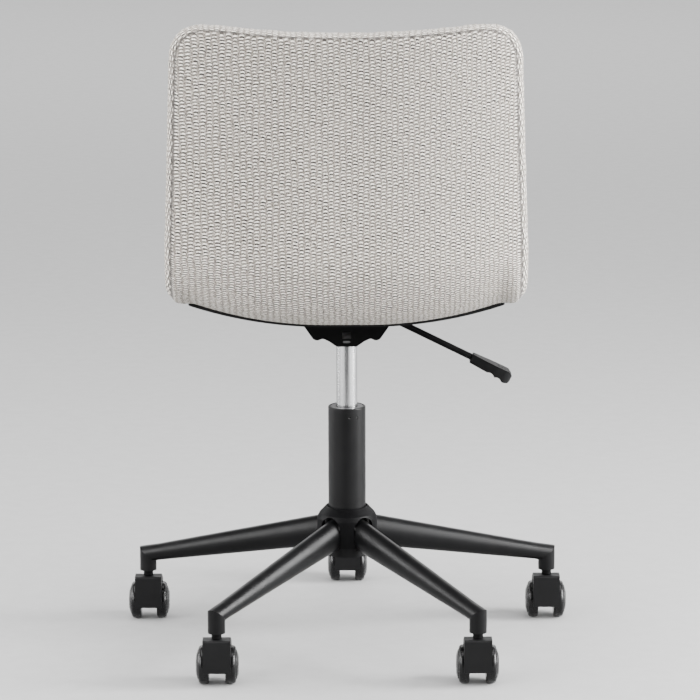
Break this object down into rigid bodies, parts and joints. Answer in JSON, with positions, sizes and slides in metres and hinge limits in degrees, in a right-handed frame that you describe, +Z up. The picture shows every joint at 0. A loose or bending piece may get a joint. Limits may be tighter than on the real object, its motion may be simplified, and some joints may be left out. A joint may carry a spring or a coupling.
{
  "type": "swivel task chair",
  "caption": "Armless swivel chair with an upholstered one-piece seat and back, a gas lift with a height lever, and a spoked base on twin-wheel casters.",
  "frame": {"origin": "on the floor, under the axis of the gas lift", "axes": "+Z up along the gas lift, -Y the way a sitter faces, +X to the sitter's left"},
  "size_m": [0.601, 0.6062, 0.8576],
  "materials": {
    "base_paint": "satin black powder coat on steel tube",
    "hub_plastic": "fine-grained black moulding",
    "grey_plastic": "grey acetal moulding",
    "insert_plastic": "black nylon moulding",
    "bright_steel": "zinc-plated turned steel",
    "black_steel": "blackened turned steel",
    "lift_chrome": "bright chrome with fine lengthwise polish lines",
    "mechanism_paint": "black e-coat on pressed steel",
    "lever_paint": "black coat on ridged steel rod",
    "handle_plastic": "fine-textured dark grey moulding",
    "board_black": "black pressed board, fine grain",
    "plywood": "moulded beech plywood",
    "woven_fabric": "chunky ribbed weave, warm light grey with darker flecks",
    "hood_plastic": "matt black nylon moulding",
    "wheel_plastic": "black nylon, semi-gloss, scuffed tread"
  },
  "bodies": {
    "base": {"hub_sleeve": "base_paint", "hub_cover": "hub_plastic", "spoke_1": "base_paint", "spoke_2": "base_paint", "spoke_3": "base_paint", "spoke_4": "base_paint", "spoke_5": "base_paint", "spoke_sockets": "base_paint", "stem_inserts": "insert_plastic", "caster_stems": "black_steel", "column_tube": "base_paint", "guide_bush": "grey_plastic"},
    "lift_rod": {"piston_rod": "bright_steel", "rod_clip": "bright_steel", "thrust_bearing": "bright_steel"},
    "seat": {"gas_cylinder": "lift_chrome", "cylinder_gland": "grey_plastic", "cone_socket": "bright_steel", "mechanism_pan": "mechanism_paint", "seat_plate": "mechanism_paint", "lever_pivot": "bright_steel", "underside_cover": "board_black", "rear_panel": "woven_fabric", "plywood_shell": "plywood", "seat_and_back_pad": "woven_fabric", "seat_bolts": "bright_steel", "tee_nuts": "bright_steel"},
    "lever": {"lever_arm": "lever_paint", "lever_handle": "handle_plastic"},
    "valve_pin": {"release_pin": "bright_steel"},
    "caster_1": {"caster_1_hood": "hood_plastic", "caster_1_axle": "bright_steel"},
    "caster_1_left": {"caster_1_wheel_left": "wheel_plastic", "caster_1_cap_left": "wheel_plastic"},
    "caster_1_right": {"caster_1_wheel_right": "wheel_plastic", "caster_1_cap_right": "wheel_plastic"},
    "caster_2": {"caster_2_hood": "hood_plastic", "caster_2_axle": "bright_steel"},
    "caster_2_left": {"caster_2_wheel_left": "wheel_plastic", "caster_2_cap_left": "wheel_plastic"},
    "caster_2_right": {"caster_2_wheel_right": "wheel_plastic", "caster_2_cap_right": "wheel_plastic"},
    "caster_3": {"caster_3_hood": "hood_plastic", "caster_3_axle": "bright_steel"},
    "caster_3_left": {"caster_3_wheel_left": "wheel_plastic", "caster_3_cap_left": "wheel_plastic"},
    "caster_3_right": {"caster_3_wheel_right": "wheel_plastic", "caster_3_cap_right": "wheel_plastic"},
    "caster_4": {"caster_4_hood": "hood_plastic", "caster_4_axle": "bright_steel"},
    "caster_4_left": {"caster_4_wheel_left": "wheel_plastic", "caster_4_cap_left": "wheel_plastic"},
    "caster_4_right": {"caster_4_wheel_right": "wheel_plastic", "caster_4_cap_right": "wheel_plastic"},
    "caster_5": {"caster_5_hood": "hood_plastic", "caster_5_axle": "bright_steel"},
    "caster_5_left": {"caster_5_wheel_left": "wheel_plastic", "caster_5_cap_left": "wheel_plastic"},
    "caster_5_right": {"caster_5_wheel_right": "wheel_plastic", "caster_5_cap_right": "wheel_plastic"}
  },
  "joints": [
    {"name": "seat_swivel", "type": "hinge", "parent": "base", "child": "lift_rod", "pos_m": [0, 0, 0.12], "axis": [0, 0, 1], "continuous": true},
    {"name": "seat_lift", "type": "slide", "parent": "lift_rod", "child": "seat", "axis": [0, 0, 1], "range_m": [-0.075, 0]},
    {"name": "lever_lift", "type": "hinge", "parent": "seat", "child": "lever", "pos_m": [-0.03, 0, 0.438], "axis": [0, 1, 0], "range_deg": [0, 5.4], "stiffness_Nm_per_rad": 0.6, "springref_deg": -8.59},
    {"name": "pin_press", "type": "slide", "parent": "seat", "child": "valve_pin", "axis": [0, 0, -1], "range_m": [0, 0.003]},
    {"name": "caster_1_swivel", "type": "hinge", "parent": "base", "child": "caster_1", "pos_m": [0.1684, 0.23178, 0.055], "axis": [0, 0, 1], "continuous": true},
    {"name": "caster_1_spin_left", "type": "hinge", "parent": "caster_1", "child": "caster_1_left", "pos_m": [0.1684, 0.21378, 0.025], "axis": [1, 0, 0], "continuous": true},
    {"name": "caster_1_spin_right", "type": "hinge", "parent": "caster_1", "child": "caster_1_right", "pos_m": [0.1684, 0.21378, 0.025], "axis": [1, 0, 0], "continuous": true},
    {"name": "caster_2_swivel", "type": "hinge", "parent": "base", "child": "caster_2", "pos_m": [-0.1684, 0.23178, 0.055], "axis": [0, 0, 1], "continuous": true},
    {"name": "caster_2_spin_left", "type": "hinge", "parent": "caster_2", "child": "caster_2_left", "pos_m": [-0.1684, 0.21378, 0.025], "axis": [1, 0, 0], "continuous": true},
    {"name": "caster_2_spin_right", "type": "hinge", "parent": "caster_2", "child": "caster_2_right", "pos_m": [-0.1684, 0.21378, 0.025], "axis": [1, 0, 0], "continuous": true},
    {"name": "caster_3_swivel", "type": "hinge", "parent": "base", "child": "caster_3", "pos_m": [-0.27248, -0.08853, 0.055], "axis": [0, 0, 1], "continuous": true},
    {"name": "caster_3_spin_left", "type": "hinge", "parent": "caster_3", "child": "caster_3_left", "pos_m": [-0.27248, -0.10653, 0.025], "axis": [1, 0, 0], "continuous": true},
    {"name": "caster_3_spin_right", "type": "hinge", "parent": "caster_3", "child": "caster_3_right", "pos_m": [-0.27248, -0.10653, 0.025], "axis": [1, 0, 0], "continuous": true},
    {"name": "caster_4_swivel", "type": "hinge", "parent": "base", "child": "caster_4", "pos_m": [0, -0.2865, 0.055], "axis": [0, 0, 1], "continuous": true},
    {"name": "caster_4_spin_left", "type": "hinge", "parent": "caster_4", "child": "caster_4_left", "pos_m": [0, -0.3045, 0.025], "axis": [1, 0, 0], "continuous": true},
    {"name": "caster_4_spin_right", "type": "hinge", "parent": "caster_4", "child": "caster_4_right", "pos_m": [0, -0.3045, 0.025], "axis": [1, 0, 0], "continuous": true},
    {"name": "caster_5_swivel", "type": "hinge", "parent": "base", "child": "caster_5", "pos_m": [0.27248, -0.08853, 0.055], "axis": [0, 0, 1], "continuous": true},
    {"name": "caster_5_spin_left", "type": "hinge", "parent": "caster_5", "child": "caster_5_left", "pos_m": [0.27248, -0.10653, 0.025], "axis": [1, 0, 0], "continuous": true},
    {"name": "caster_5_spin_right", "type": "hinge", "parent": "caster_5", "child": "caster_5_right", "pos_m": [0.27248, -0.10653, 0.025], "axis": [1, 0, 0], "continuous": true}
  ],
  "couplings": [
    {"joint": "pin_press", "follows": "lever_lift", "m_per_rad": 0.03}
  ]
}
